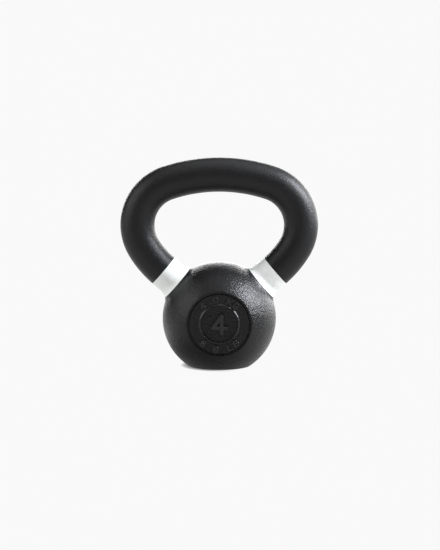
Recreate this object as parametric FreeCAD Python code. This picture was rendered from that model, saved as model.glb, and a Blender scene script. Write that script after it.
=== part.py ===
"""Kettlebell, 4 kg: a cast-iron ball and handle under a black powder coat, with a white band round
each horn and a raised weight marking on the front.

Millimetres. Origin at the centre of the flat base, +Z up, the marked face towards -Y.
Each function below makes one sub-part, and main() writes each to parts/NODE.step.
"""

import FreeCAD
import Part
import math
import os

from FreeCAD import Rotation, Vector

# Ball
BALL_RADIUS = 46.0
BALL_HEIGHT = 38.5  # of the ball's centre above the base
BASE_EDGE_RADIUS = 0.8

# Handle: crown, shoulder and side arcs in the XZ plane, then a straight horn aimed at the ball's centre
BAR_RADIUS = 13.85
CROWN_RADIUS = 132.1
CROWN_HEADING = math.radians(18.3)  # direction of travel below level where the crown arc ends
SHOULDER_RADIUS = 35.6
SHOULDER_HEADING = math.radians(120.8)  # and where the shoulder arc ends
HORN_ELEVATION = math.radians(40.7)
ROOT_FILLET = 9.0

# Coats, and the planes across a horn where they change, by distance from the ball's centre
COAT = 0.25
BALL_LINE = 44.5
GRIP_LINE = 59.6

# Marked face: a flat with a groove round it, and a sunk disc inside a raised ring
FACE_DEPTH = 38.0  # of the flat, in front of the ball's centre
GROOVE_CENTRE = 24.5
GROOVE_RADIUS = 0.9
LIP_RADIUS = 0.4
DISC_RADIUS = 14.7
DISC_SINK = 1.5
RING_WIDTH = 1.6
RING_HEIGHT = 1.0

# Raised figures: cap height, width of one figure, stroke width and relief
NUMERAL_SIZE = (17.0, 13.0, 3.0)
NUMERAL_RELIEF = 2.0
MARKING_SIZE = (5.4, 4.4, 1.3)
MARKING_RELIEF = 1.0
MARKING_RADIUS = 19.9
MARKING_PITCH = math.radians(16.5)
UPPER_MARKING = "4.0 KG"
LOWER_MARKING = "8.8 LB"

# Centrelines of the strokes of each figure, in a cell that is 1 wide and 1 high. LOW and HIGH are where a
# figure's corners are cut.
LOW = 0.22
HIGH = 1 - LOW
FIGURES = {
    "4": [[(0.7, 0), (0.7, 1), (0, 0.3), (1, 0.3)]],
    "0": [[(LOW, 0), (0, LOW), (0, HIGH), (LOW, 1), (HIGH, 1), (1, HIGH), (1, LOW), (HIGH, 0), (LOW, 0)]],
    "8": [
        [(LOW, 0.5), (0, 0.64), (0, 0.86), (LOW, 1), (HIGH, 1), (1, 0.86), (1, 0.64), (HIGH, 0.5), (LOW, 0.5)],
        [(LOW, 0.5), (0, 0.36), (0, 0.14), (LOW, 0), (HIGH, 0), (1, 0.14), (1, 0.36), (HIGH, 0.5)],
    ],
    "K": [[(0, 0), (0, 1)], [(1, 1), (0, 0.42)], [(0.32, 0.6), (1, 0)]],
    "G": [[(1, HIGH), (HIGH, 1), (LOW, 1), (0, HIGH), (0, LOW), (LOW, 0), (1, 0), (1, 0.45), (0.58, 0.45)]],
    "L": [[(0, 1), (0, 0), (1, 0)]],
    "B": [
        [(0, 0), (0, 1), (HIGH, 1), (1, 0.84), (1, 0.66), (HIGH, 0.52), (0, 0.52)],
        [(HIGH, 0.52), (1, 0.36), (1, 0.16), (HIGH, 0), (0, 0)],
    ],
    ".": [[(0.5, 0), (0.5, 0.02)]],
    " ": [],
}

ORIGIN = Vector(0, 0, 0)
UP = Vector(0, 0, 1)
FRONT = Vector(0, -1, 0)
BALL_CENTRE = Vector(0, 0, BALL_HEIGHT)
FAR = 3 * BALL_RADIUS  # past anything on the ball


def horn_direction(side):
    return Vector(side * math.cos(HORN_ELEVATION), 0, math.sin(HORN_ELEVATION))


def front_point(radius, depth):
    """A point of an outline that is turned about -Y: off the axis by a radius, and forward by a depth."""
    return Vector(radius, -depth, 0)


def fillet_centre():
    """Radius from the horn's axis and distance along it, of the centre of the root fillet's arc."""
    radius = BAR_RADIUS + ROOT_FILLET
    return radius, math.sqrt((BALL_RADIUS + ROOT_FILLET) ** 2 - radius**2)


def flare_radius(along, inset):
    """Radius of the root fillet's surface at a distance along the horn from the ball's centre."""
    radius, centre = fillet_centre()
    return radius - math.sqrt((ROOT_FILLET + inset) ** 2 - (centre - along) ** 2)


def arc(start, middle, end):
    return Part.Arc(start, middle, end).toShape()


def line(start, end):
    return Part.LineSegment(start, end).toShape()


def flare_arc(low, high, inset):
    """Stretch of the root fillet between two distances along the horn, with the horn standing along +Z."""
    at = [Vector(flare_radius(z, inset), 0, z) for z in (low, (low + high) / 2, high)]
    return arc(*at)


def turned(edges, axis):
    """Solid of revolution of a closed outline about an axis through the origin."""
    return Part.Face(Part.Wire(edges)).revolve(ORIGIN, axis, 360)


def onto_horn(shape, side):
    """Takes a shape made about +Z from the origin to a horn's axis from the ball's centre."""
    shape.Placement = FreeCAD.Placement(BALL_CENTRE, Rotation(UP, horn_direction(side)))
    return shape


def collar(side, inset):
    """The start of the root fillet, from the ball's surface to the plane where the band begins."""
    _, centre = fillet_centre()
    low = centre * (BALL_RADIUS - inset) / (BALL_RADIUS + ROOT_FILLET)
    foot, top = flare_radius(low, inset), flare_radius(BALL_LINE, inset)
    outline = [
        line(Vector(0, 0, low), Vector(foot, 0, low)),
        flare_arc(low, BALL_LINE, inset),
        line(Vector(top, 0, BALL_LINE), Vector(0, 0, BALL_LINE)),
        line(Vector(0, 0, BALL_LINE), Vector(0, 0, low)),
    ]
    return onto_horn(turned(outline, UP), side)


def face_cutter(inset):
    """What is taken off the front of the ball: the sunk disc, the flat and the groove round it."""
    face, disc = FACE_DEPTH - inset, FACE_DEPTH - DISC_SINK - inset
    disc_edge, groove = DISC_RADIUS + inset, GROOVE_RADIUS + inset
    steps = [
        front_point(GROOVE_CENTRE + groove, face),
        front_point(GROOVE_CENTRE + groove, FAR),
        front_point(0, FAR),
        front_point(0, disc),
        front_point(disc_edge, disc),
        front_point(disc_edge, face),
        front_point(GROOVE_CENTRE - groove, face),
    ]
    outline = [line(start, end) for start, end in zip(steps, steps[1:])]
    outline.append(arc(steps[-1], front_point(GROOVE_CENTRE, face - groove), steps[0]))
    cutter = turned(outline, FRONT)
    cutter.translate(BALL_CENTRE)
    return cutter


def lip_edges(shape, inset):
    """The circle where the groove's outer wall meets the ball."""
    radius = GROOVE_CENTRE + GROOVE_RADIUS + inset
    depth = math.sqrt((BALL_RADIUS - inset) ** 2 - radius**2)
    return [e for e in shape.Edges if on_circle(e, radius, BALL_CENTRE + FRONT * depth)]


def base_edges(shape, inset):
    """The circle where the ball meets its flat base."""
    radius = math.sqrt((BALL_RADIUS - inset) ** 2 - (BALL_HEIGHT - inset) ** 2)
    return [e for e in shape.Edges if on_circle(e, radius, Vector(0, 0, inset))]


def on_circle(edge, radius, centre):
    """Whether an edge is an arc of this radius about this centre. A pole of a sphere is an edge with no curve."""
    if edge.Degenerated or not isinstance(edge.Curve, Part.Circle):
        return False
    tolerance = 1e-3
    return abs(edge.Curve.Radius - radius) < tolerance and (edge.Curve.Center - centre).Length < tolerance


def ball(inset=0.0):
    """The ball up to the planes where the bands begin. With an inset, its surface lies that much deeper."""
    shape = Part.makeSphere(BALL_RADIUS - inset, BALL_CENTRE)
    under = Part.makeBox(2 * FAR, 2 * FAR, FAR, Vector(-FAR, -FAR, inset - FAR))
    shape = shape.cut(under)
    for side in (-1, 1):
        above = onto_horn(Part.makeCylinder(BALL_RADIUS, BALL_RADIUS, Vector(0, 0, BALL_LINE)), side)
        shape = shape.cut(above).fuse(collar(side, inset))
    shape = shape.cut(face_cutter(inset)).removeSplitter()
    shape = shape.makeFillet(LIP_RADIUS - inset, lip_edges(shape, inset))
    return shape.makeFillet(BASE_EDGE_RADIUS - inset, base_edges(shape, inset))


def base_slab():
    """The space between the floor and the underside of the casting."""
    return Part.makeBox(2 * FAR, 2 * FAR, COAT, Vector(-FAR, -FAR, 0))


def horn(side, low, high, inset=0.0):
    """A length of one horn, between two distances from the ball's centre, with its root fillet."""
    _, straight = fillet_centre()
    radius = BAR_RADIUS - inset
    outline = [line(Vector(0, 0, high), Vector(0, 0, low))]
    if low < straight:
        outline += [
            line(Vector(0, 0, low), Vector(flare_radius(low, inset), 0, low)),
            flare_arc(low, straight, inset),
            line(Vector(radius, 0, straight), Vector(radius, 0, high)),
        ]
    else:
        outline += [
            line(Vector(0, 0, low), Vector(radius, 0, low)),
            line(Vector(radius, 0, low), Vector(radius, 0, high)),
        ]
    outline.append(line(Vector(radius, 0, high), Vector(0, 0, high)))
    return onto_horn(turned(outline, UP), side)


def bend_stations():
    """Point, direction of travel, arc radius and turn at the start of each arc, from the crown's top to a horn."""
    end = math.pi - HORN_ELEVATION
    headings = [0.0, CROWN_HEADING, SHOULDER_HEADING, end]
    reach = GRIP_LINE * math.cos(HORN_ELEVATION)
    reach -= CROWN_RADIUS * math.sin(CROWN_HEADING)
    reach -= SHOULDER_RADIUS * (math.sin(SHOULDER_HEADING) - math.sin(CROWN_HEADING))
    side_radius = reach / (math.sin(end) - math.sin(SHOULDER_HEADING))
    radii = [CROWN_RADIUS, SHOULDER_RADIUS, side_radius]
    drops = [r * (math.cos(a) - math.cos(b)) for r, a, b in zip(radii, headings, headings[1:])]
    x, z = 0.0, BALL_HEIGHT + GRIP_LINE * math.sin(HORN_ELEVATION) + sum(drops)
    stations = []
    for radius, a, b, drop in zip(radii, headings, headings[1:], drops):
        stations.append((Vector(x, 0, z), a, radius, b - a))
        x += radius * (math.sin(b) - math.sin(a))
        z -= drop
    return stations


def bar(inset=0.0):
    """The round bar from one grip line over the crown to the other, as tangent bends."""
    halves = []
    for side in (-1, 1):
        for point, heading, radius, turn in bend_stations():
            start = Vector(side * point.x, 0, point.z)
            travel = Vector(side * math.cos(heading), 0, -math.sin(heading))
            inward = Vector(-side * math.sin(heading), 0, -math.cos(heading))
            disc = Part.Face(Part.Wire(Part.makeCircle(BAR_RADIUS - inset, start, travel)))
            axis = Vector(0, side, 0)
            halves.append(disc.revolve(start + inward * radius, axis, math.degrees(turn)))
    return halves[0].fuse(halves[1:]).removeSplitter()


def ball_casting():
    return ball(COAT)


def ball_coat():
    return ball().cut(ball(COAT)).cut(base_slab())


def base_coat():
    return ball().common(base_slab())


def handle_casting():
    horns = [horn(side, BALL_LINE, GRIP_LINE, COAT) for side in (-1, 1)]
    return bar(COAT).fuse(horns).removeSplitter()


def grip_coat():
    return bar().cut(bar(COAT))


def band(side):
    return horn(side, BALL_LINE, GRIP_LINE).cut(horn(side, BALL_LINE, GRIP_LINE, COAT))


def numeral_ring():
    """A raised ring with a rounded top, standing on the flat at the edge of the sunk disc."""
    inner, outer = DISC_RADIUS, DISC_RADIUS + RING_WIDTH
    top = FACE_DEPTH + RING_HEIGHT
    shoulder = top - RING_WIDTH / 2
    corners = [
        front_point(inner, shoulder),
        front_point(inner, FACE_DEPTH),
        front_point(outer, FACE_DEPTH),
        front_point(outer, shoulder),
    ]
    outline = [line(start, end) for start, end in zip(corners, corners[1:])]
    outline.append(arc(corners[-1], front_point((inner + outer) / 2, top), corners[0]))
    ring = turned(outline, FRONT)
    ring.translate(BALL_CENTRE)
    return ring


def stroke_bar(start, end, width, relief):
    """A straight stroke with square ends, standing out along -Y."""
    across = (end - start).cross(FRONT).normalize() * (width / 2)
    corners = [start - across, end - across, end + across, start + across, start - across]
    return Part.Face(Part.makePolygon(corners)).extrude(FRONT * relief)


def figure(name, size, relief):
    """One raised figure about the origin, reading upright in the XZ plane and standing out along -Y."""
    height, width, stroke = size
    bars = []
    for cell in FIGURES[name]:
        points = [Vector((x - 0.5) * (width - stroke), 0, (z - 0.5) * (height - stroke)) for x, z in cell]
        bars += [stroke_bar(start, end, stroke, relief) for start, end in zip(points, points[1:])]
        bars += [Part.makeCylinder(stroke / 2, relief, point, FRONT) for point in points]
    return bars[0].fuse(bars[1:]).removeSplitter()


def weight_numeral():
    shape = figure("4", NUMERAL_SIZE, NUMERAL_RELIEF)
    shape.translate(BALL_CENTRE + FRONT * (FACE_DEPTH - DISC_SINK))
    return shape


def marking(text, upper):
    """Raised figures round the flat, centred above or below the ring and reading from the left."""
    shapes = []
    for index, name in enumerate(text):
        if not FIGURES[name]:
            continue
        turn = (index - (len(text) - 1) / 2) * MARKING_PITCH
        shape = figure(name, MARKING_SIZE, MARKING_RELIEF)
        shape.translate(UP * (MARKING_RADIUS if upper else -MARKING_RADIUS))
        shape.rotate(ORIGIN, Vector(0, 1, 0), math.degrees(turn if upper else -turn))
        shape.translate(BALL_CENTRE + FRONT * FACE_DEPTH)
        shapes.append(shape)
    return Part.makeCompound(shapes)


def main():
    nodes = {
        "ball_casting": ball_casting(),
        "handle_casting": handle_casting(),
        "ball_coat": ball_coat(),
        "base_coat": base_coat(),
        "grip_coat": grip_coat(),
        "left_band": band(-1),
        "right_band": band(1),
        "numeral_ring": numeral_ring(),
        "weight_numeral": weight_numeral(),
        "upper_marking": marking(UPPER_MARKING, True),
        "lower_marking": marking(LOWER_MARKING, False),
    }
    os.makedirs("parts", exist_ok=True)
    for name, shape in nodes.items():
        box = shape.BoundBox
        print(
            f"{name:15} {len(shape.Solids)} solid(s) {shape.Volume:10.1f} mm3 valid {shape.isValid()} "
            f"{box.XLength:.1f} x {box.YLength:.1f} x {box.ZLength:.1f}"
        )
        shape.exportStep(f"parts/{name}.step")


main()
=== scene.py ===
"""Kettlebell, 4 kg: the coats, bands and raised figures that are seen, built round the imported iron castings.

Metres throughout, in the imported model's frame: the origin at the centre of the flat base, +Z up and the
marked face towards -Y. Each operator builds one piece, or one group of like pieces, from the settings in
the sidebar. Run as a script, the file builds them all and then the floor, the lights and the camera.
"""

import math

import bmesh
import bpy
from bpy.props import FloatProperty, FloatVectorProperty, IntProperty, PointerProperty
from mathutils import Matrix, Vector


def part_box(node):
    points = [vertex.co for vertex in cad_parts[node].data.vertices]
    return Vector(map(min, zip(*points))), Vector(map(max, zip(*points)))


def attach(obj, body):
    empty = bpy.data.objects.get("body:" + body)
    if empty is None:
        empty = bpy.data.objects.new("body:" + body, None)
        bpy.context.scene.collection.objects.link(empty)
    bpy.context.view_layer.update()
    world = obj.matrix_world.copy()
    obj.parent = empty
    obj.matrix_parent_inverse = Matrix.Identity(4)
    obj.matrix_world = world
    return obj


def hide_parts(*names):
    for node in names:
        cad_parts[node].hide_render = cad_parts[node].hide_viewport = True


bl_info = {
    "name": "Kettlebell",
    "version": (1, 0, 0),
    "blender": (4, 5, 0),
    "location": "3D View > Sidebar > Kettlebell",
    "description": "Builds the coats, bands and raised figures of a cast-iron kettlebell, and its studio",
    "category": "Object",
}

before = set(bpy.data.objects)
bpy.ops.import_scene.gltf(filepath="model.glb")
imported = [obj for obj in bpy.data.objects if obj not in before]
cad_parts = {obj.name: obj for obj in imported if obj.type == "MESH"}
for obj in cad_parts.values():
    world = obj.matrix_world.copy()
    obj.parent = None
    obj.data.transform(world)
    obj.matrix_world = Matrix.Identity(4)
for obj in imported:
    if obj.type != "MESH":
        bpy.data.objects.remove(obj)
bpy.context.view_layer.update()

BALL_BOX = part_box("ball_coat")
GRIP_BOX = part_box("grip_coat")
RING_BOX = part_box("numeral_ring")
NUMERAL_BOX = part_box("weight_numeral")

BODY = "root"
SIDES = {"left": -1, "right": 1}
SMALL = 0.00001  # below this, two points are one
SLIVER = 0.00015  # a cut's points nearer than this are drawn together
EXACT = 0.0000001  # how near to a cutting plane a point counts as on it


# Settings


class BallSettings(bpy.types.PropertyGroup):
    radius: FloatProperty(
        name="Radius",
        description="Radius of the ball over its coat",
        default=BALL_BOX[1].x,
        unit="LENGTH",
    )
    centre_height: FloatProperty(
        name="Centre height",
        description="Height of the ball's centre above the base",
        default=BALL_BOX[1].z - BALL_BOX[1].x,
        unit="LENGTH",
    )
    base_edge: FloatProperty(
        name="Base edge",
        description="Radius of the rounded edge of the flat base",
        default=0.0008,
        unit="LENGTH",
    )
    segments: IntProperty(
        name="Segments",
        description="Facets round the ball",
        default=288,
    )


class FaceSettings(bpy.types.PropertyGroup):
    depth: FloatProperty(
        name="Depth",
        description="Distance of the flat in front of the ball's centre",
        default=-RING_BOX[1].y,
        unit="LENGTH",
    )
    groove_centre: FloatProperty(
        name="Groove",
        description="Radius of the middle of the groove round the flat",
        default=0.0245,
        unit="LENGTH",
    )
    groove_radius: FloatProperty(
        name="Groove section",
        description="Radius of the groove's half-round section",
        default=0.0009,
        unit="LENGTH",
    )
    lip: FloatProperty(
        name="Lip",
        description="Width over which the ball rounds over into the groove",
        default=0.0006,
        unit="LENGTH",
    )
    ring_width: FloatProperty(
        name="Ring width",
        description="Width of the raised ring",
        default=0.0016,
        unit="LENGTH",
    )
    ring_crest: FloatProperty(
        name="Ring crest",
        description="Radius of the ring's inner edge, where its sloping top turns down to the disc",
        default=0.0001,
        unit="LENGTH",
    )
    disc_foot: FloatProperty(
        name="Disc foot",
        description="Width of the soft foot where the disc's wall meets its floor",
        default=0.0009,
        unit="LENGTH",
    )
    disc_sink: FloatProperty(
        name="Disc sink",
        description="Depth of the disc inside the ring below the flat",
        default=NUMERAL_BOX[1].y - RING_BOX[1].y,
        unit="LENGTH",
    )


class HandleSettings(bpy.types.PropertyGroup):
    bar_radius: FloatProperty(
        name="Bar radius",
        description="Radius of the round bar over its coat",
        default=GRIP_BOX[1].y,
        unit="LENGTH",
    )
    crown_height: FloatProperty(
        name="Crown height",
        description="Height of the bar's centreline at the top of the crown",
        default=GRIP_BOX[1].z - GRIP_BOX[1].y,
        unit="LENGTH",
    )
    crown_radius: FloatProperty(
        name="Crown radius",
        description="Bend radius of the crown",
        default=0.1321,
        unit="LENGTH",
    )
    crown_heading: FloatProperty(
        name="Crown heading",
        description="Direction of the bar below level where the crown's bend ends",
        default=math.radians(18.3),
        subtype="ANGLE",
    )
    shoulder_radius: FloatProperty(
        name="Shoulder radius",
        description="Bend radius of each shoulder",
        default=0.0356,
        unit="LENGTH",
    )
    shoulder_heading: FloatProperty(
        name="Shoulder heading",
        description="Direction of the bar below level where the shoulder's bend ends",
        default=math.radians(120.8),
        subtype="ANGLE",
    )
    horn_elevation: FloatProperty(
        name="Horn elevation",
        description="Angle of each horn's axis above level, seen from the ball's centre",
        default=math.radians(40.7),
        subtype="ANGLE",
    )
    root_fillet: FloatProperty(
        name="Root fillet",
        description="Radius of the fillet where a horn flares into the ball",
        default=0.009,
        unit="LENGTH",
    )
    ball_line: FloatProperty(
        name="Ball line",
        description="Distance from the ball's centre to the start of the white band",
        default=0.0445,
        unit="LENGTH",
    )
    grip_line: FloatProperty(
        name="Grip line",
        description="Distance from the ball's centre to the end of the white band",
        default=0.0596,
        unit="LENGTH",
    )
    segments: IntProperty(
        name="Segments",
        description="Facets round the bar",
        default=120,
    )


class CoatSettings(bpy.types.PropertyGroup):
    thickness: FloatProperty(
        name="Thickness",
        description="Thickness of the powder coat and of the white enamel",
        default=0.0002,
        unit="LENGTH",
    )
    swell_size: FloatProperty(
        name="Swell size",
        description="Size of the slow swells of the cast surface",
        default=0.011,
        unit="LENGTH",
    )
    swell_depth: FloatProperty(
        name="Swell depth",
        description="Depth of the slow swells of the cast surface",
        default=0.00012,
        unit="LENGTH",
    )
    pebble_size: FloatProperty(
        name="Pebble size",
        description="Size of the pebbling of the cast surface",
        default=0.0028,
        unit="LENGTH",
    )
    pebble_depth: FloatProperty(
        name="Pebble depth",
        description="Depth of the pebbling of the cast surface",
        default=0.00005,
        unit="LENGTH",
    )
    figure_grain: FloatProperty(
        name="Figure grain",
        description="Mesh spacing of the raised figures",
        default=0.00013,
        unit="LENGTH",
    )
    figure_softening: IntProperty(
        name="Figure softening",
        description="Rounds of smoothing that give the raised figures their cast and coated edges",
        default=12,
    )
    figure_root: FloatProperty(
        name="Figure root",
        description="Depth to which the raised figures reach under the surface that they stand on",
        default=0.0004,
        unit="LENGTH",
    )


class FinishSettings(bpy.types.PropertyGroup):
    black: FloatVectorProperty(
        name="Black coat",
        description="Colour of the black powder coat",
        default=(0.0052, 0.0052, 0.0056),
        subtype="COLOR",
    )
    white: FloatVectorProperty(
        name="White enamel",
        description="Colour of the bands",
        default=(0.785, 0.795, 0.775),
        subtype="COLOR",
    )
    iron: FloatVectorProperty(
        name="Iron",
        description="Colour of the bare castings under the coats",
        default=(0.17, 0.17, 0.175),
        subtype="COLOR",
    )


class StudioSettings(bpy.types.PropertyGroup):
    camera_distance: FloatProperty(
        name="Camera distance",
        description="Distance of the camera from the point it looks at",
        default=1.294,
        unit="LENGTH",
    )
    camera_elevation: FloatProperty(
        name="Camera elevation",
        description="Angle of the camera above level",
        default=math.radians(6.4),
        subtype="ANGLE",
    )
    camera_target: FloatVectorProperty(
        name="Camera target",
        description="Point that the camera looks at",
        default=(0.0006, 0.0, 0.0736),
        subtype="TRANSLATION",
        unit="LENGTH",
    )
    camera_lens: FloatProperty(
        name="Camera lens",
        description="Focal length in millimetres on a 36 mm sensor",
        default=104.7,
    )
    backdrop: FloatProperty(
        name="Backdrop",
        description="Brightness of the pale floor and backdrop",
        default=0.947,
    )
    surround: FloatProperty(
        name="Surround",
        description="Brightness of the studio that the piece reflects",
        default=0.03,
    )


class KettlebellSettings(bpy.types.PropertyGroup):
    ball: PointerProperty(type=BallSettings)
    face: PointerProperty(type=FaceSettings)
    handle: PointerProperty(type=HandleSettings)
    coat: PointerProperty(type=CoatSettings)
    finish: PointerProperty(type=FinishSettings)
    studio: PointerProperty(type=StudioSettings)


def settings():
    return bpy.context.scene.kettlebell


# Geometry shared by the pieces


def ball_centre():
    return Vector((0, 0, settings().ball.centre_height))


def horn_direction(side):
    elevation = settings().handle.horn_elevation
    return Vector((side * math.cos(elevation), 0, math.sin(elevation)))


def fillet_centre():
    """Radius from the horn's axis and distance along it, of the centre of the root fillet's arc."""
    handle, ball = settings().handle, settings().ball
    radius = handle.bar_radius + handle.root_fillet
    return radius, math.sqrt((ball.radius + handle.root_fillet) ** 2 - radius**2)


def horn_radius(along):
    """Radius of a horn over its coat, at a distance along it from the ball's centre."""
    handle = settings().handle
    radius, centre = fillet_centre()
    if along >= centre:
        return handle.bar_radius
    return radius - math.sqrt(handle.root_fillet**2 - (centre - along) ** 2)


def spread(low, high, count):
    """Evenly spaced values from low to high, with both."""
    return [low + (high - low) * step / count for step in range(count + 1)]


def horn_rings(side, low, high, count):
    """Centre and radius of evenly spaced rings along a horn."""
    direction = horn_direction(side)
    return [(ball_centre() + direction * along, horn_radius(along)) for along in spread(low, high, count)]


# Modelling steps


def start_piece():
    """Leaves nothing selected, so that the next primitive is the only thing worked on."""
    bpy.ops.object.select_all(action="DESELECT")


def sweep_rings(rings):
    """Extrudes the selected face or edge loop, which is the first ring, through the others in turn."""
    for (start, start_radius), (end, end_radius) in zip(rings, rings[1:]):
        bpy.ops.mesh.extrude_region_move(TRANSFORM_OT_translate={"value": end - start})
        factor = end_radius / start_radius
        bpy.ops.transform.resize(value=(factor, factor, factor), center_override=end)


def cut_away(point, normal):
    """Cuts off what lies past a plane and leaves the face that closes the cut as the selection."""
    bpy.ops.mesh.select_all(action="SELECT")
    bpy.ops.mesh.bisect(plane_co=point, plane_no=normal, use_fill=True, clear_outer=True, threshold=EXACT)
    bpy.ops.mesh.remove_doubles(threshold=SLIVER)


def close_at_centre():
    """Draws the selected face together into a pole."""
    bpy.ops.mesh.merge(type="CENTER")


def select_points(piece, test):
    mesh = bmesh.from_edit_mesh(piece.data)
    for point in mesh.verts:
        point.select = test(point)
    mesh.select_flush_mode()
    bmesh.update_edit_mesh(piece.data)


def apply_modifier(piece, kind, **values):
    modifier = piece.modifiers.new(kind.title(), kind)
    for name, value in values.items():
        setattr(modifier, name, value)
    bpy.ops.object.modifier_apply(modifier=modifier.name)


def cast_texture(name, size, detail):
    texture = bpy.data.textures.get(name) or bpy.data.textures.new(name, "CLOUDS")
    texture.noise_scale = size
    texture.noise_depth = detail
    return texture


def roughen(piece, group=""):
    """Works the swells and pebbles of a cast surface into the mesh, inwards only, so that no size grows."""
    coat = settings().coat
    layers = [
        ("cast swells", coat.swell_size, 1, coat.swell_depth),
        ("cast pebbles", coat.pebble_size, 2, coat.pebble_depth),
    ]
    for name, size, detail, depth in layers:
        apply_modifier(
            piece,
            "DISPLACE",
            texture=cast_texture(name, size, detail),
            strength=depth,
            mid_level=1.0,
            vertex_group=group,
        )


def finish_piece(piece, name, nodes, material, angle=35):
    """Names a finished mesh, gives it its material and ties it to the frame."""
    piece.name = name
    piece.data.name = name
    piece.data.materials.clear()
    piece.data.materials.append(material)
    bpy.ops.object.select_all(action="DESELECT")
    piece.select_set(True)
    bpy.context.view_layer.objects.active = piece
    bpy.ops.object.transform_apply(location=True, rotation=True, scale=True)
    bpy.ops.object.shade_smooth_by_angle(angle=math.radians(angle))
    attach(piece, BODY)
    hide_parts(*nodes)


# Materials

PEEL_PER_PEBBLE = 2.8  # how many times finer the orange peel is than the pebbles
PINHOLES_PER_METRE = 260.0
PINHOLE_EDGE = (0.05, 0.11)  # where a pinhole starts to fade and where it is gone, in its cell's widths
PINHOLE_DEPTH = 0.5  # beside the pebbles' height of 1
RUBS_PER_PATCH = 3.1  # how many times finer the rubs are than the clouds
CLOUD_RANGE = (0.3, 0.7)  # noise levels where the clouds start and are full
RUB_RANGE = (0.52, 0.7)  # noise levels where the rubs start and are full
ENAMEL_CLOUDS = (0.87, 0.90, 0.895)  # what the grey clouds leave of the white
IRON_MOTTLE = (1.1, 0.85, 0.7)  # what the browner mottling makes of the iron's colour


def new_group(name, inputs, outputs):
    """A shader node group with named sockets, and its input and output nodes."""
    group = bpy.data.node_groups.new(name, "ShaderNodeTree")
    for socket, kind, default in inputs:
        made = group.interface.new_socket(socket, in_out="INPUT", socket_type=kind)
        if default is not None:
            made.default_value = default
    for socket, kind in outputs:
        group.interface.new_socket(socket, in_out="OUTPUT", socket_type=kind)
    return group, group.nodes.new("NodeGroupInput"), group.nodes.new("NodeGroupOutput")


def add_node(tree, kind, values=None, **inputs):
    """A node with its properties set, and its inputs given as values or as sockets to link.

    An input is given by its name, or as an underscore and its place: _0 is the first.
    """
    node = tree.nodes.new(kind)
    for name, value in (values or {}).items():
        setattr(node, name, value)
    for name, value in inputs.items():
        socket = node.inputs[int(name[1:])] if name[0] == "_" else node.inputs[name.replace("_", " ")]
        if isinstance(value, bpy.types.NodeSocket):
            tree.links.new(value, socket)
        else:
            socket.default_value = value
    return node


def math_node(tree, operation, first, second):
    return add_node(tree, "ShaderNodeMath", {"operation": operation}, _0=first, _1=second).outputs[0]


def mix_colours(tree, factor, first, second):
    node = add_node(tree, "ShaderNodeMix", {"data_type": "RGBA"}, _0=factor, _6=first, _7=second)
    return node.outputs[2]


def map_range(tree, value, low, high, to_low, to_high):
    node = add_node(
        tree,
        "ShaderNodeMapRange",
        None,
        Value=value,
        From_Min=low,
        From_Max=high,
        To_Min=to_low,
        To_Max=to_high,
    )
    return node.outputs[0]


def coat_grain_group():
    """The skin of a sprayed coat over sand-cast iron: pebbles, a finer orange peel and a few pinholes."""
    name = "Coat grain"
    if name in bpy.data.node_groups:
        return bpy.data.node_groups[name]
    group, source, result = new_group(
        name,
        [
            ("Vector", "NodeSocketVector", None),
            ("Pebbles per metre", "NodeSocketFloat", 600.0),
            ("Peel per metre", "NodeSocketFloat", 1700.0),
            ("Peel share", "NodeSocketFloat", 0.3),
        ],
        [("Height", "NodeSocketFloat")],
    )
    vector = source.outputs["Vector"]
    pebbles = add_node(
        group,
        "ShaderNodeTexNoise",
        None,
        Vector=vector,
        Scale=source.outputs["Pebbles per metre"],
        Detail=2.0,
        Roughness=0.55,
    )
    peel = add_node(
        group,
        "ShaderNodeTexVoronoi",
        {"feature": "SMOOTH_F1"},
        Vector=vector,
        Scale=source.outputs["Peel per metre"],
        Smoothness=0.7,
    )
    pits = add_node(
        group,
        "ShaderNodeTexVoronoi",
        {"feature": "F1"},
        Vector=vector,
        Scale=PINHOLES_PER_METRE,
        Randomness=1.0,
    )
    share = source.outputs["Peel share"]
    fine = math_node(group, "MULTIPLY", peel.outputs["Distance"], share)
    height = math_node(group, "ADD", pebbles.outputs[0], fine)
    pinholes = map_range(group, pits.outputs["Distance"], *PINHOLE_EDGE, 1.0, 0.0)
    sunk = math_node(group, "MULTIPLY", pinholes, PINHOLE_DEPTH)
    height = math_node(group, "SUBTRACT", height, sunk)
    group.links.new(height, result.inputs["Height"])
    return group


def handling_group():
    """Slow unevenness of a surface that is handled: a cloudy mask with softer and sharper patches."""
    name = "Handling"
    if name in bpy.data.node_groups:
        return bpy.data.node_groups[name]
    group, source, result = new_group(
        name,
        [("Vector", "NodeSocketVector", None), ("Patches per metre", "NodeSocketFloat", 45.0)],
        [("Clouds", "NodeSocketFloat"), ("Rubs", "NodeSocketFloat")],
    )
    clouds = add_node(
        group,
        "ShaderNodeTexNoise",
        None,
        Vector=source.outputs["Vector"],
        Scale=source.outputs["Patches per metre"],
        Detail=4.0,
        Roughness=0.55,
        Distortion=0.4,
    )
    rubs = add_node(
        group,
        "ShaderNodeTexNoise",
        None,
        Vector=source.outputs["Vector"],
        Scale=math_node(group, "MULTIPLY", source.outputs["Patches per metre"], RUBS_PER_PATCH),
        Detail=5.0,
        Roughness=0.7,
    )
    group.links.new(map_range(group, clouds.outputs[0], *CLOUD_RANGE, 0.0, 1.0), result.inputs["Clouds"])
    group.links.new(map_range(group, rubs.outputs[0], *RUB_RANGE, 0.0, 1.0), result.inputs["Rubs"])
    return group


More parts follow.
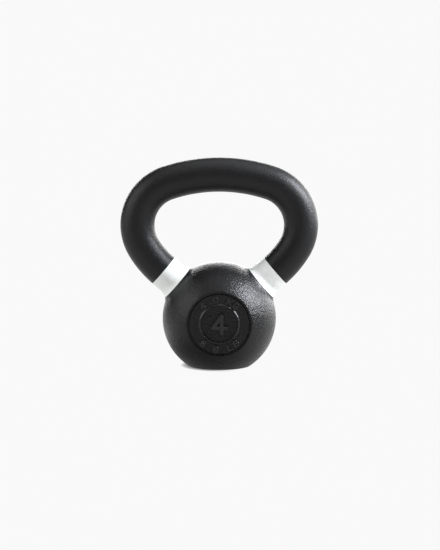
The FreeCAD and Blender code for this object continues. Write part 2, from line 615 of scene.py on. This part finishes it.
def start_material(name):
    """An empty material with its shader, its output and the object's own coordinates."""
    material = bpy.data.materials.new(name)
    material.use_nodes = True
    tree = material.node_tree
    tree.nodes.clear()
    shader = tree.nodes.new("ShaderNodeBsdfPrincipled")
    output = tree.nodes.new("ShaderNodeOutputMaterial")
    tree.links.new(shader.outputs[0], output.inputs[0])
    coordinates = tree.nodes.new("ShaderNodeTexCoord").outputs["Object"]
    return material, tree, shader, coordinates


def coat_material(name, colour, tint, roughness, specular, grain, peel_share, bump, patches):
    """A sprayed coat: a colour drifting between two tones, uneven gloss, and grain in the light."""
    if name in bpy.data.materials:
        return bpy.data.materials[name]
    material, tree, shader, coordinates = start_material(name)
    skin = add_node(tree, "ShaderNodeGroup", {"node_tree": coat_grain_group()}, Vector=coordinates)
    skin.inputs["Pebbles per metre"].default_value = grain
    skin.inputs["Peel per metre"].default_value = grain * PEEL_PER_PEBBLE
    skin.inputs["Peel share"].default_value = peel_share
    wear = add_node(tree, "ShaderNodeGroup", {"node_tree": handling_group()}, Vector=coordinates)
    wear.inputs["Patches per metre"].default_value = patches
    base = mix_colours(tree, wear.outputs["Clouds"], (*colour, 1.0), (*tint, 1.0))
    low, high = roughness
    gloss = map_range(tree, wear.outputs["Rubs"], 0.0, 1.0, low, high)
    strength, distance = bump
    relief = add_node(
        tree,
        "ShaderNodeBump",
        None,
        Strength=strength,
        Distance=distance,
        Height=skin.outputs["Height"],
    )
    tree.links.new(base, shader.inputs["Base Color"])
    tree.links.new(gloss, shader.inputs["Roughness"])
    tree.links.new(relief.outputs[0], shader.inputs["Normal"])
    shader.inputs["Specular IOR Level"].default_value = specular
    return material


def lighter(colour, factor):
    return tuple(channel * factor for channel in colour)


def tinted(colour, tint):
    return tuple(channel * part for channel, part in zip(colour, tint))


def black_powder_coat():
    black = settings().finish.black
    return coat_material(
        "black powder coat",
        lighter(black, 0.9),
        lighter(black, 1.15),
        roughness=(0.32, 0.40),
        specular=0.25,
        grain=640.0,
        peel_share=0.35,
        bump=(1.0, 0.0004),
        patches=38.0,
    )


def grip_black_coat():
    """The same coat on the handle, duller and finer."""
    black = settings().finish.black
    return coat_material(
        "grip black coat",
        lighter(black, 0.9),
        lighter(black, 1.15),
        roughness=(0.42, 0.50),
        specular=0.25,
        grain=900.0,
        peel_share=0.3,
        bump=(0.8, 0.0003),
        patches=50.0,
    )


def glossy_coat_with_painted_sheen():
    """The same coat on the raised ring and figures, glossier, with a lighter tone that is painted sheen
    standing in for the light the raised figures catch.
    """
    black = settings().finish.black
    return coat_material(
        "rubbed black coat",
        black,
        # painted sheen: a lighter black so that the raised figures read as if they caught the light
        lighter(black, 1.5),
        roughness=(0.30, 0.38),
        specular=0.36,
        grain=900.0,
        peel_share=0.3,
        bump=(0.35, 0.0002),
        patches=300.0,
    )


def white_enamel():
    white = settings().finish.white
    return coat_material(
        "white enamel",
        white,
        tinted(white, ENAMEL_CLOUDS),
        roughness=(0.42, 0.54),
        specular=0.4,
        grain=480.0,
        peel_share=0.2,
        bump=(0.30, 0.0003),
        patches=130.0,
    )


def bare_iron():
    """Bare grey cast iron: mottled, dull and coarse."""
    name = "bare iron"
    if name in bpy.data.materials:
        return bpy.data.materials[name]
    material, tree, shader, coordinates = start_material(name)
    iron = settings().finish.iron
    skin = add_node(tree, "ShaderNodeGroup", {"node_tree": coat_grain_group()}, Vector=coordinates)
    skin.inputs["Pebbles per metre"].default_value = 900.0
    wear = add_node(tree, "ShaderNodeGroup", {"node_tree": handling_group()}, Vector=coordinates)
    mottle = (*tinted(iron, IRON_MOTTLE), 1.0)
    base = mix_colours(tree, wear.outputs["Rubs"], (*iron, 1.0), mottle)
    relief = add_node(
        tree,
        "ShaderNodeBump",
        None,
        Strength=0.6,
        Distance=0.0004,
        Height=skin.outputs["Height"],
    )
    tree.links.new(base, shader.inputs["Base Color"])
    tree.links.new(map_range(tree, wear.outputs["Clouds"], 0.0, 1.0, 0.55, 0.75), shader.inputs["Roughness"])
    tree.links.new(relief.outputs[0], shader.inputs["Normal"])
    shader.inputs["Metallic"].default_value = 0.7
    return material


# Pieces

# Rings of mesh along each part of a profile
LIP_STEPS = 5
GROOVE_STEPS = 12
FLAT_STEPS = 11
FOOT_STEPS = 8
DISC_STEPS = 15
BASE_EDGE_STEPS = 5
BASE_STEPS = 10
HORN_STEPS = 5
BAND_STEPS = 24
SLOPE_STEPS = 10
CREST_STEPS = 6
RING_SEGMENTS = 240

LIP_WALL = 0.25  # share of the step from the flat to the ball that is wall under the lip
GROOVE_GAP = 0.0001  # from the groove to the next ring inwards
DISC_GAP = 0.0006  # from the disc's foot to the next ring inwards, and from its last ring to the middle
BASE_GAP = 0.0005  # from the base's edge to the next ring inwards
BASE_MIDDLE = 0.001  # radius of the base's last ring
RELIEF_FADE = 3  # height above the base's edge, in edge radii, at which the cast relief is full


def face_rings():
    """Rings of the marked face, from where the ball is cut to the middle of the sunk disc."""
    face, ball = settings().face, settings().ball
    disc = RING_BOX[1].x - face.ring_width
    groove_edge = face.groove_centre + face.groove_radius
    outer = groove_edge + face.lip
    sphere = math.sqrt(ball.radius**2 - outer**2)
    wall = face.depth + LIP_WALL * (sphere - face.depth)
    profile = [(outer, sphere)]
    for turn in spread(0.0, math.pi / 2, LIP_STEPS)[1:]:
        profile.append((outer - face.lip * math.sin(turn), wall + (sphere - wall) * math.cos(turn)))
    for turn in spread(0.0, math.pi, GROOVE_STEPS):
        section = face.groove_radius
        profile.append(
            (face.groove_centre + section * math.cos(turn), face.depth - section * math.sin(turn))
        )
    flat = face.groove_centre - face.groove_radius
    profile += [(radius, face.depth) for radius in spread(flat - GROOVE_GAP, disc, FLAT_STEPS)]
    bottom = face.depth - face.disc_sink
    for turn in spread(0.0, math.pi / 2, FOOT_STEPS)[1:]:
        drop = face.disc_sink * math.sin(turn)
        profile.append((disc - face.disc_foot * (1 - math.cos(turn)), face.depth - drop))
    floor_edge = disc - face.disc_foot
    profile += [(radius, bottom) for radius in spread(floor_edge - DISC_GAP, DISC_GAP, DISC_STEPS)]
    return [(ball_centre() + Vector((0, -depth, 0)), radius) for radius, depth in profile]


def base_rings():
    """Rings of the flat base, from where the ball is cut, round its edge and in to the middle."""
    ball = settings().ball
    edge = ball.base_edge
    inner, rise = ball.radius - edge, ball.centre_height - edge
    centre = math.sqrt(inner**2 - rise**2)
    tangent = math.asin(centre / inner)
    profile = [
        (centre + edge * math.sin(turn), edge - edge * math.cos(turn))
        for turn in spread(tangent, 0.0, BASE_EDGE_STEPS)
    ]
    profile += [(radius, 0.0) for radius in spread(centre - BASE_GAP, BASE_MIDDLE, BASE_STEPS)]
    return [(Vector((0, 0, height)), radius) for radius, height in profile]


class KETTLEBELL_OT_ball_coat(bpy.types.Operator):
    """Model the coat of the ball, with its marked face, its flat base and the start of both horns"""

    bl_idname = "kettlebell.ball_coat"
    bl_label = "Ball Coat"

    def execute(self, context):
        ball, handle = settings().ball, settings().handle
        start_piece()
        bpy.ops.mesh.primitive_uv_sphere_add(
            segments=ball.segments,
            ring_count=ball.segments // 2,
            radius=ball.radius,
            location=ball_centre(),
            rotation=(math.pi / 2, 0, 0),
        )
        piece = context.active_object
        bpy.ops.object.transform_apply(location=True, rotation=True, scale=True)
        bpy.ops.object.mode_set(mode="EDIT")
        bpy.ops.mesh.select_mode(type="FACE")
        rings = face_rings()
        cut_away(rings[0][0], (0, -1, 0))
        sweep_rings(rings)
        close_at_centre()
        rings = base_rings()
        cut_away(rings[0][0], (0, 0, -1))
        sweep_rings(rings)
        close_at_centre()
        _, straight = fillet_centre()
        foot = straight * ball.radius / (ball.radius + handle.root_fillet)
        for side in SIDES.values():
            rings = horn_rings(side, foot, handle.ball_line, HORN_STEPS)
            cut_away(rings[0][0], horn_direction(side))
            sweep_rings(rings)
            bpy.ops.mesh.delete(type="ONLY_FACE")
        bpy.ops.mesh.select_all(action="SELECT")
        bpy.ops.mesh.remove_doubles(threshold=SMALL)
        bpy.ops.mesh.normals_make_consistent(inside=False)
        bpy.ops.object.mode_set(mode="OBJECT")
        clear = piece.vertex_groups.new(name="above base")
        fade = RELIEF_FADE * ball.base_edge
        for point in piece.data.vertices:
            clear.add([point.index], min(1.0, max(0.0, point.co.z - ball.base_edge) / fade), "REPLACE")
        roughen(piece, clear.name)
        apply_modifier(piece, "SOLIDIFY", thickness=settings().coat.thickness, offset=-1.0)
        finish_piece(piece, "ball_powder_coat", ["ball_coat", "base_coat"], black_powder_coat())
        return {"FINISHED"}


class KETTLEBELL_OT_grip_coat(bpy.types.Operator):
    """Model the coat of the handle from one white band over the crown to the other"""

    bl_idname = "kettlebell.grip_coat"
    bl_label = "Grip Coat"

    def execute(self, context):
        handle = settings().handle
        start_piece()
        bpy.ops.mesh.primitive_circle_add(
            vertices=handle.segments,
            radius=handle.bar_radius,
            location=(0, 0, handle.crown_height),
            rotation=(0, math.pi / 2, 0),
        )
        piece = context.active_object
        bpy.ops.object.transform_apply(location=True, rotation=True, scale=True)
        bpy.ops.object.mode_set(mode="EDIT")
        bpy.ops.mesh.select_mode(type="EDGE")
        bpy.ops.mesh.select_all(action="SELECT")
        pitch = 2 * math.pi * handle.bar_radius / handle.segments
        for centre, radius, turn in handle_bends():
            steps = max(1, round(radius * turn / pitch))
            bpy.ops.mesh.spin(steps=steps, angle=turn, center=centre, axis=(0, -1, 0))
        bpy.ops.object.mode_set(mode="OBJECT")
        apply_modifier(piece, "MIRROR", merge_threshold=SMALL)
        bpy.ops.object.mode_set(mode="EDIT")
        bpy.ops.mesh.select_all(action="SELECT")
        bpy.ops.mesh.remove_doubles(threshold=SMALL)
        bpy.ops.mesh.normals_make_consistent(inside=False)
        bpy.ops.object.mode_set(mode="OBJECT")
        roughen(piece)
        apply_modifier(piece, "SOLIDIFY", thickness=settings().coat.thickness, offset=-1.0)
        finish_piece(piece, "grip_powder_coat", ["grip_coat"], grip_black_coat())
        return {"FINISHED"}


def handle_bends():
    """Centre, radius and turn of each bend of the right half of the handle, from the crown down."""
    handle = settings().handle
    end = math.pi - handle.horn_elevation
    crown, shoulder = handle.crown_heading, handle.shoulder_heading
    centre = Vector((0, 0, handle.crown_height - handle.crown_radius))
    bends = [(centre, handle.crown_radius, crown)]
    outward = Vector((math.sin(crown), 0, math.cos(crown)))
    centre = centre + outward * (handle.crown_radius - handle.shoulder_radius)
    bends.append((centre, handle.shoulder_radius, shoulder - crown))
    outward = Vector((math.sin(shoulder), 0, math.cos(shoulder)))
    start = centre + outward * handle.shoulder_radius
    foot = ball_centre() + horn_direction(1) * handle.grip_line
    side_radius = (foot.x - start.x) / (math.sin(end) - math.sin(shoulder))
    bends.append((start - outward * side_radius, side_radius, end - shoulder))
    return bends


class KETTLEBELL_OT_bands(bpy.types.Operator):
    """Model the white enamel band round each horn"""

    bl_idname = "kettlebell.bands"
    bl_label = "White Bands"

    def execute(self, context):
        handle = settings().handle
        for name, side in SIDES.items():
            rings = horn_rings(side, handle.ball_line, handle.grip_line, BAND_STEPS)
            start_piece()
            bpy.ops.mesh.primitive_circle_add(
                vertices=handle.segments,
                radius=rings[0][1],
                location=rings[0][0],
                rotation=horn_direction(side).to_track_quat("Z", "Y").to_euler(),
            )
            piece = context.active_object
            bpy.ops.object.transform_apply(location=True, rotation=True, scale=True)
            bpy.ops.object.mode_set(mode="EDIT")
            bpy.ops.mesh.select_mode(type="EDGE")
            bpy.ops.mesh.select_all(action="SELECT")
            sweep_rings(rings)
            bpy.ops.mesh.select_all(action="SELECT")
            bpy.ops.mesh.normals_make_consistent(inside=False)
            bpy.ops.object.mode_set(mode="OBJECT")
            roughen(piece)
            apply_modifier(piece, "SOLIDIFY", thickness=settings().coat.thickness, offset=-1.0)
            finish_piece(piece, f"{name}_white_band", [f"{name}_band"], white_enamel())
        return {"FINISHED"}


def ring_rings():
    """Rings round the raised ring's section: up its sloping outer side, over the top and down inside."""
    face, coat = settings().face, settings().coat
    outer, inner = RING_BOX[1].x, RING_BOX[1].x - face.ring_width
    relief = -RING_BOX[0].y - face.depth
    root = face.depth - coat.figure_root
    profile = [(outer, root), (outer, face.depth)]
    slope = face.ring_width - face.ring_crest
    for step in spread(0.0, 1.0, SLOPE_STEPS)[1:]:
        rise = math.sin(step * math.pi / 2)
        profile.append((outer - slope * step, face.depth + relief * rise))
    crest = face.ring_crest
    for turn in spread(0.0, math.pi / 2, CREST_STEPS)[1:]:
        drop = crest * (1 - math.cos(turn))
        profile.append((inner + crest * (1 - math.sin(turn)), face.depth + relief - drop))
    profile += [(inner, root), (outer, root)]
    return [(Vector((0, -depth, settings().ball.centre_height)), radius) for radius, depth in profile]


class KETTLEBELL_OT_raised_ring(bpy.types.Operator):
    """Model the raised ring round the sunk disc"""

    bl_idname = "kettlebell.raised_ring"
    bl_label = "Raised Ring"

    def execute(self, context):
        rings = ring_rings()
        start_piece()
        bpy.ops.mesh.primitive_circle_add(
            vertices=RING_SEGMENTS,
            radius=rings[0][1],
            location=rings[0][0],
            rotation=(math.pi / 2, 0, 0),
        )
        piece = context.active_object
        bpy.ops.object.transform_apply(location=True, rotation=True, scale=True)
        bpy.ops.object.mode_set(mode="EDIT")
        bpy.ops.mesh.select_mode(type="EDGE")
        bpy.ops.mesh.select_all(action="SELECT")
        sweep_rings(rings)
        bpy.ops.mesh.select_all(action="SELECT")
        bpy.ops.mesh.remove_doubles(threshold=SMALL)
        bpy.ops.mesh.normals_make_consistent(inside=False)
        bpy.ops.object.mode_set(mode="OBJECT")
        roughen(piece)
        finish_piece(piece, "raised_ring", ["numeral_ring"], glossy_coat_with_painted_sheen())
        return {"FINISHED"}


class KETTLEBELL_OT_raised_figures(bpy.types.Operator):
    """Model the raised figures, with softened edges"""

    bl_idname = "kettlebell.raised_figures"
    bl_label = "Raised Figures"

    def execute(self, context):
        names = {
            "weight_numeral": "raised_numeral",
            "upper_marking": "raised_weight_above",
            "lower_marking": "raised_weight_below",
        }
        coat = settings().coat
        for node, name in names.items():
            start_piece()
            piece = bpy.data.objects.new(name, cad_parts[node].data.copy())
            context.collection.objects.link(piece)
            context.view_layer.objects.active = piece
            piece.select_set(True)
            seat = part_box(node)[1].y
            bpy.ops.object.mode_set(mode="EDIT")
            bpy.ops.mesh.select_mode(type="VERT")
            bpy.ops.mesh.select_all(action="SELECT")
            bpy.ops.mesh.remove_doubles(threshold=SMALL)
            select_points(piece, lambda point: point.co.y > seat - SMALL)
            bpy.ops.transform.translate(value=(0, coat.figure_root, 0))
            bpy.ops.object.mode_set(mode="OBJECT")
            apply_modifier(piece, "REMESH", mode="VOXEL", voxel_size=coat.figure_grain)
            apply_modifier(piece, "SMOOTH", factor=0.6, iterations=coat.figure_softening)
            front = min(point.co.y for point in piece.data.vertices)
            relief = (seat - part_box(node)[0].y) / (seat - front)
            bpy.ops.object.mode_set(mode="EDIT")
            bpy.ops.mesh.select_all(action="SELECT")
            bpy.ops.transform.resize(value=(1.0, relief, 1.0), center_override=(0, seat, 0))
            bpy.ops.object.mode_set(mode="OBJECT")
            finish_piece(piece, name, [node], glossy_coat_with_painted_sheen(), angle=60)
        return {"FINISHED"}


class KETTLEBELL_OT_castings(bpy.types.Operator):
    """Give the castings under the coats their bare iron finish"""

    bl_idname = "kettlebell.castings"
    bl_label = "Castings"

    def execute(self, context):
        for name in ("ball_casting", "handle_casting"):
            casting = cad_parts[name]
            casting.data.materials.clear()
            casting.data.materials.append(bare_iron())
        return {"FINISHED"}


# Studio

WHITE = (1.0, 1.0, 1.0)
FLOOR_SIZE = 40.0
CONTACT_REACH = 0.0045  # how far the contact shadow reaches from the piece
CONTACT_RANGE = (0.2, 0.85)  # openness at which the shadow is full and at which it is gone
CONTACT_LEVEL = 0.3  # what the full shadow leaves of the floor's brightness
CONTACT_FADE = (-0.02, 0.02)  # X across which the contact shadow fades out, from left to right
REFLECTED_SHADOW_MIDDLE = (-0.025, -0.01, 0.0)  # middle of the painted shadow on the floor, a dark patch that the piece sees in its reflections
REFLECTED_SHADOW_RANGE = (0.03, 0.09)  # radii at which that patch starts to lighten and at which it ends
REFLECTED_LEVELS = (0.4, 1.15)  # brightness of the reflected floor in and past the patch, beside what is seen

# Name, direction from the piece, distance, width and height, power in watts, and colour
SOFTBOXES = [
    ("key softbox", (0.77, -0.1, 0.64), 1.2, (0.3, 0.3), 28.0, (0.88, 0.92, 1.0)),
    ("low key softbox", (0.9, 0.0, 0.4), 1.2, (0.4, 0.4), 19.0, (0.95, 0.97, 1.0)),
    ("fill softbox", (-0.85, -0.2, 0.45), 1.2, (0.9, 0.9), 9.0, WHITE),
    ("overhead softbox", (0.2, 0.0, 1.0), 1.4, (1.8, 1.8), 14.0, WHITE),
    ("front softbox", (0.0, -0.76, 0.64), 1.5, (2.4, 0.9), 1.5, WHITE),
    ("back softbox", (0.3, 0.93, 0.22), 1.5, (3.0, 0.7), 36.0, WHITE),
]


def floor_material():
    """A pale floor that glows evenly, with a painted contact shadow at the left foot of the piece and a
    painted shadow round it in what the piece reflects.
    """
    material = bpy.data.materials.new("pale floor")
    material.use_nodes = True
    tree = material.node_tree
    tree.nodes.clear()
    level = settings().studio.backdrop
    output = tree.nodes.new("ShaderNodeOutputMaterial")
    contact = add_node(tree, "ShaderNodeAmbientOcclusion", {"samples": 16}, Distance=CONTACT_REACH)
    position = tree.nodes.new("ShaderNodeTexCoord").outputs["Object"]
    across = add_node(tree, "ShaderNodeSeparateXYZ", None, Vector=position).outputs["X"]
    lit_side = map_range(tree, across, *CONTACT_FADE, 0.0, 1.0)
    open_floor = math_node(tree, "MAXIMUM", contact.outputs["AO"], lit_side)
    seen = map_range(tree, open_floor, *CONTACT_RANGE, CONTACT_LEVEL * level, level)
    away = add_node(
        tree,
        "ShaderNodeVectorMath",
        {"operation": "DISTANCE"},
        _0=position,
        _1=REFLECTED_SHADOW_MIDDLE,
    )
    # painted shadow of the piece on the floor, seen in the piece's reflections but not by the camera
    inside, outside = lighter(REFLECTED_LEVELS, level)
    reflected_floor_shade = map_range(tree, away.outputs["Value"], *REFLECTED_SHADOW_RANGE, inside, outside)
    camera_ray = tree.nodes.new("ShaderNodeLightPath").outputs["Is Camera Ray"]
    shade = add_node(tree, "ShaderNodeMix", {"data_type": "FLOAT"}, _0=camera_ray, _2=reflected_floor_shade, _3=seen)
    glow = add_node(tree, "ShaderNodeEmission", None, Color=(*WHITE, 1.0), Strength=shade.outputs[0])
    tree.links.new(glow.outputs[0], output.inputs[0])
    return material


def set_world():
    """A white backdrop to the camera, and a dimmer studio to the piece."""
    world = bpy.context.scene.world or bpy.data.worlds.new("studio")
    bpy.context.scene.world = world
    world.use_nodes = True
    tree = world.node_tree
    tree.nodes.clear()
    studio = settings().studio
    output = tree.nodes.new("ShaderNodeOutputWorld")
    path = tree.nodes.new("ShaderNodeLightPath")
    level = map_range(tree, path.outputs["Is Camera Ray"], 0.0, 1.0, studio.surround, studio.backdrop)
    sky = add_node(tree, "ShaderNodeBackground", None, Color=(*WHITE, 1.0), Strength=level)
    tree.links.new(sky.outputs[0], output.inputs[0])


def add_softbox(name, direction, distance, size, power, colour):
    """A soft rectangular light that faces the middle of the piece, and isn't itself in any view."""
    target = Vector(settings().studio.camera_target)
    towards = Vector(direction).normalized()
    bpy.ops.object.light_add(
        type="AREA",
        location=target + towards * distance,
        rotation=towards.to_track_quat("Z", "Y").to_euler(),
    )
    light = bpy.context.active_object
    light.name = name
    light.data.shape = "RECTANGLE"
    light.data.size, light.data.size_y = size
    light.data.energy = power
    light.data.color = colour
    light.visible_camera = False


class KETTLEBELL_OT_studio(bpy.types.Operator):
    """Set up the pale floor, the soft lights and the camera"""

    bl_idname = "kettlebell.studio"
    bl_label = "Studio"

    def execute(self, context):
        studio = settings().studio
        bpy.ops.mesh.primitive_plane_add(size=FLOOR_SIZE, location=(0, 0, 0))
        floor = context.active_object
        floor.name = "floor"
        floor.data.materials.append(floor_material())
        set_world()
        for softbox in SOFTBOXES:
            add_softbox(*softbox)
        elevation = studio.camera_elevation
        back = Vector((0, -math.cos(elevation), math.sin(elevation)))
        bpy.ops.object.camera_add(
            location=Vector(studio.camera_target) + back * studio.camera_distance,
            rotation=back.to_track_quat("Z", "Y").to_euler(),
        )
        camera = context.active_object
        camera.data.lens = studio.camera_lens
        camera.data.clip_end = 100.0
        context.scene.camera = camera
        context.scene.view_settings.view_transform = "Standard"
        return {"FINISHED"}


class KETTLEBELL_PT_sidebar(bpy.types.Panel):
    bl_idname = "KETTLEBELL_PT_sidebar"
    bl_label = "Kettlebell"
    bl_space_type = "VIEW_3D"
    bl_region_type = "UI"
    bl_category = "Kettlebell"

    def draw(self, context):
        for operator in OPERATORS:
            self.layout.operator(operator.bl_idname)
        for name in KettlebellSettings.__annotations__:
            box = self.layout.box()
            box.label(text=name.title())
            group = getattr(settings(), name)
            for field in type(group).__annotations__:
                box.prop(group, field)


SETTINGS = [
    BallSettings,
    FaceSettings,
    HandleSettings,
    CoatSettings,
    FinishSettings,
    StudioSettings,
    KettlebellSettings,
]
OPERATORS = [
    KETTLEBELL_OT_ball_coat,
    KETTLEBELL_OT_grip_coat,
    KETTLEBELL_OT_bands,
    KETTLEBELL_OT_raised_ring,
    KETTLEBELL_OT_raised_figures,
    KETTLEBELL_OT_castings,
    KETTLEBELL_OT_studio,
]
CLASSES = [*SETTINGS, *OPERATORS, KETTLEBELL_PT_sidebar]


def register():
    for each in CLASSES:
        bpy.utils.register_class(each)
    bpy.types.Scene.kettlebell = PointerProperty(type=KettlebellSettings)


def unregister():
    del bpy.types.Scene.kettlebell
    for each in reversed(CLASSES):
        bpy.utils.unregister_class(each)


def main():
    register()
    for operator in OPERATORS:
        family, name = operator.bl_idname.split(".")
        getattr(getattr(bpy.ops, family), name)()


if __name__ == "__main__":
    main()
